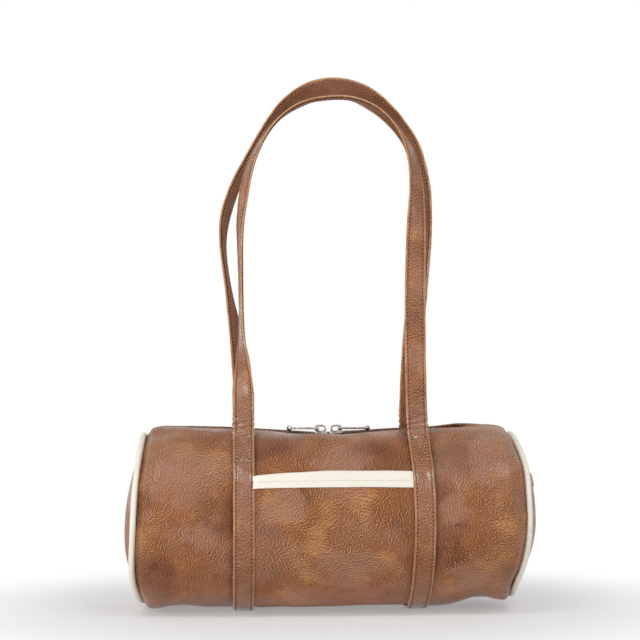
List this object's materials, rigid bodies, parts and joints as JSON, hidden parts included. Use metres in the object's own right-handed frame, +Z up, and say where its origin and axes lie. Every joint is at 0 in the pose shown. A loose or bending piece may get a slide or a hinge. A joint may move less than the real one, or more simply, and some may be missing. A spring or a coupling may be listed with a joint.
{
  "type": "barrel bag",
  "caption": "Soft cylindrical leather shoulder bag with piped round ends, a zip with sliding pulls along the top, a flat front pocket and long shoulder straps.",
  "frame": {"origin": "on the floor under the middle of the barrel", "axes": "+X runs along the barrel to its right end as seen in the picture, -Y is the front with the pocket, +Z is up"},
  "size_m": [0.3532, 0.168, 0.462],
  "materials": {
    "leather": "satin, mottled brown",
    "strap_leather": "satin, mottled brown with paler folded edges",
    "cream_trim": "smooth satin cream",
    "lining_cloth": "plain woven cloth",
    "webbing": "ribbed woven webbing",
    "zip_tape": "dark brown woven tape",
    "zip_coil": "dark brown moulded coil",
    "metal": "polished nickel plate",
    "board": "pressed fibre board"
  },
  "bodies": {
    "bag": {"body_panel": "leather", "end_panel_left": "leather", "end_panel_right": "leather", "piping_left": "cream_trim", "piping_right": "cream_trim", "seam_binding_left": "lining_cloth", "seam_binding_right": "lining_cloth", "end_stiffener_left": "board", "end_stiffener_right": "board", "base_board": "board", "lining_body": "lining_cloth", "lining_end_left": "lining_cloth", "lining_end_right": "lining_cloth", "inner_pocket": "lining_cloth", "strap_band_left": "strap_leather", "strap_band_right": "strap_leather", "front_pocket_lining": "lining_cloth", "front_pocket_panel": "leather", "front_pocket_trim": "cream_trim", "end_pocket_panel": "leather", "end_pocket_hem": "leather", "zip_tape_front": "zip_tape", "zip_tape_rear": "zip_tape", "zip_coil_front": "zip_coil", "zip_coil_rear": "zip_coil", "zip_end_tab_left": "leather", "zip_end_tab_right": "leather"},
    "slider_left": {"slider_left": "metal"},
    "slider_right": {"slider_right": "metal"},
    "puller_left": {"puller_left": "metal"},
    "puller_right": {"puller_right": "metal"},
    "handle_front": {"handle_front": "strap_leather", "handle_front_webbing": "webbing"},
    "handle_rear": {"handle_rear": "strap_leather", "handle_rear_webbing": "webbing"}
  },
  "joints": [
    {"name": "zip_slide_left", "type": "slide", "parent": "bag", "child": "slider_left", "axis": [-0.9983, 0, 0.0584], "range_m": [0, 0.11]},
    {"name": "zip_slide_right", "type": "slide", "parent": "bag", "child": "slider_right", "axis": [0.9983, 0, 0.0584], "range_m": [0, 0.11]},
    {"name": "puller_turn_left", "type": "hinge", "parent": "slider_left", "child": "puller_left", "pos_m": [-0.00941, 0, 0.15582], "axis": [0, 1, 0], "range_deg": [0, 150]},
    {"name": "puller_turn_right", "type": "hinge", "parent": "slider_right", "child": "puller_right", "pos_m": [0.00941, 0, 0.15582], "axis": [0, -1, 0], "range_deg": [0, 150]},
    {"name": "handle_swing_front", "type": "hinge", "parent": "bag", "child": "handle_front", "pos_m": [0, -0.03748, 0.15601], "axis": [1, 0, 0], "range_deg": [0, 115]},
    {"name": "handle_swing_rear", "type": "hinge", "parent": "bag", "child": "handle_rear", "pos_m": [0, 0.03748, 0.15601], "axis": [-1, 0, 0], "range_deg": [0, 115]}
  ]
}
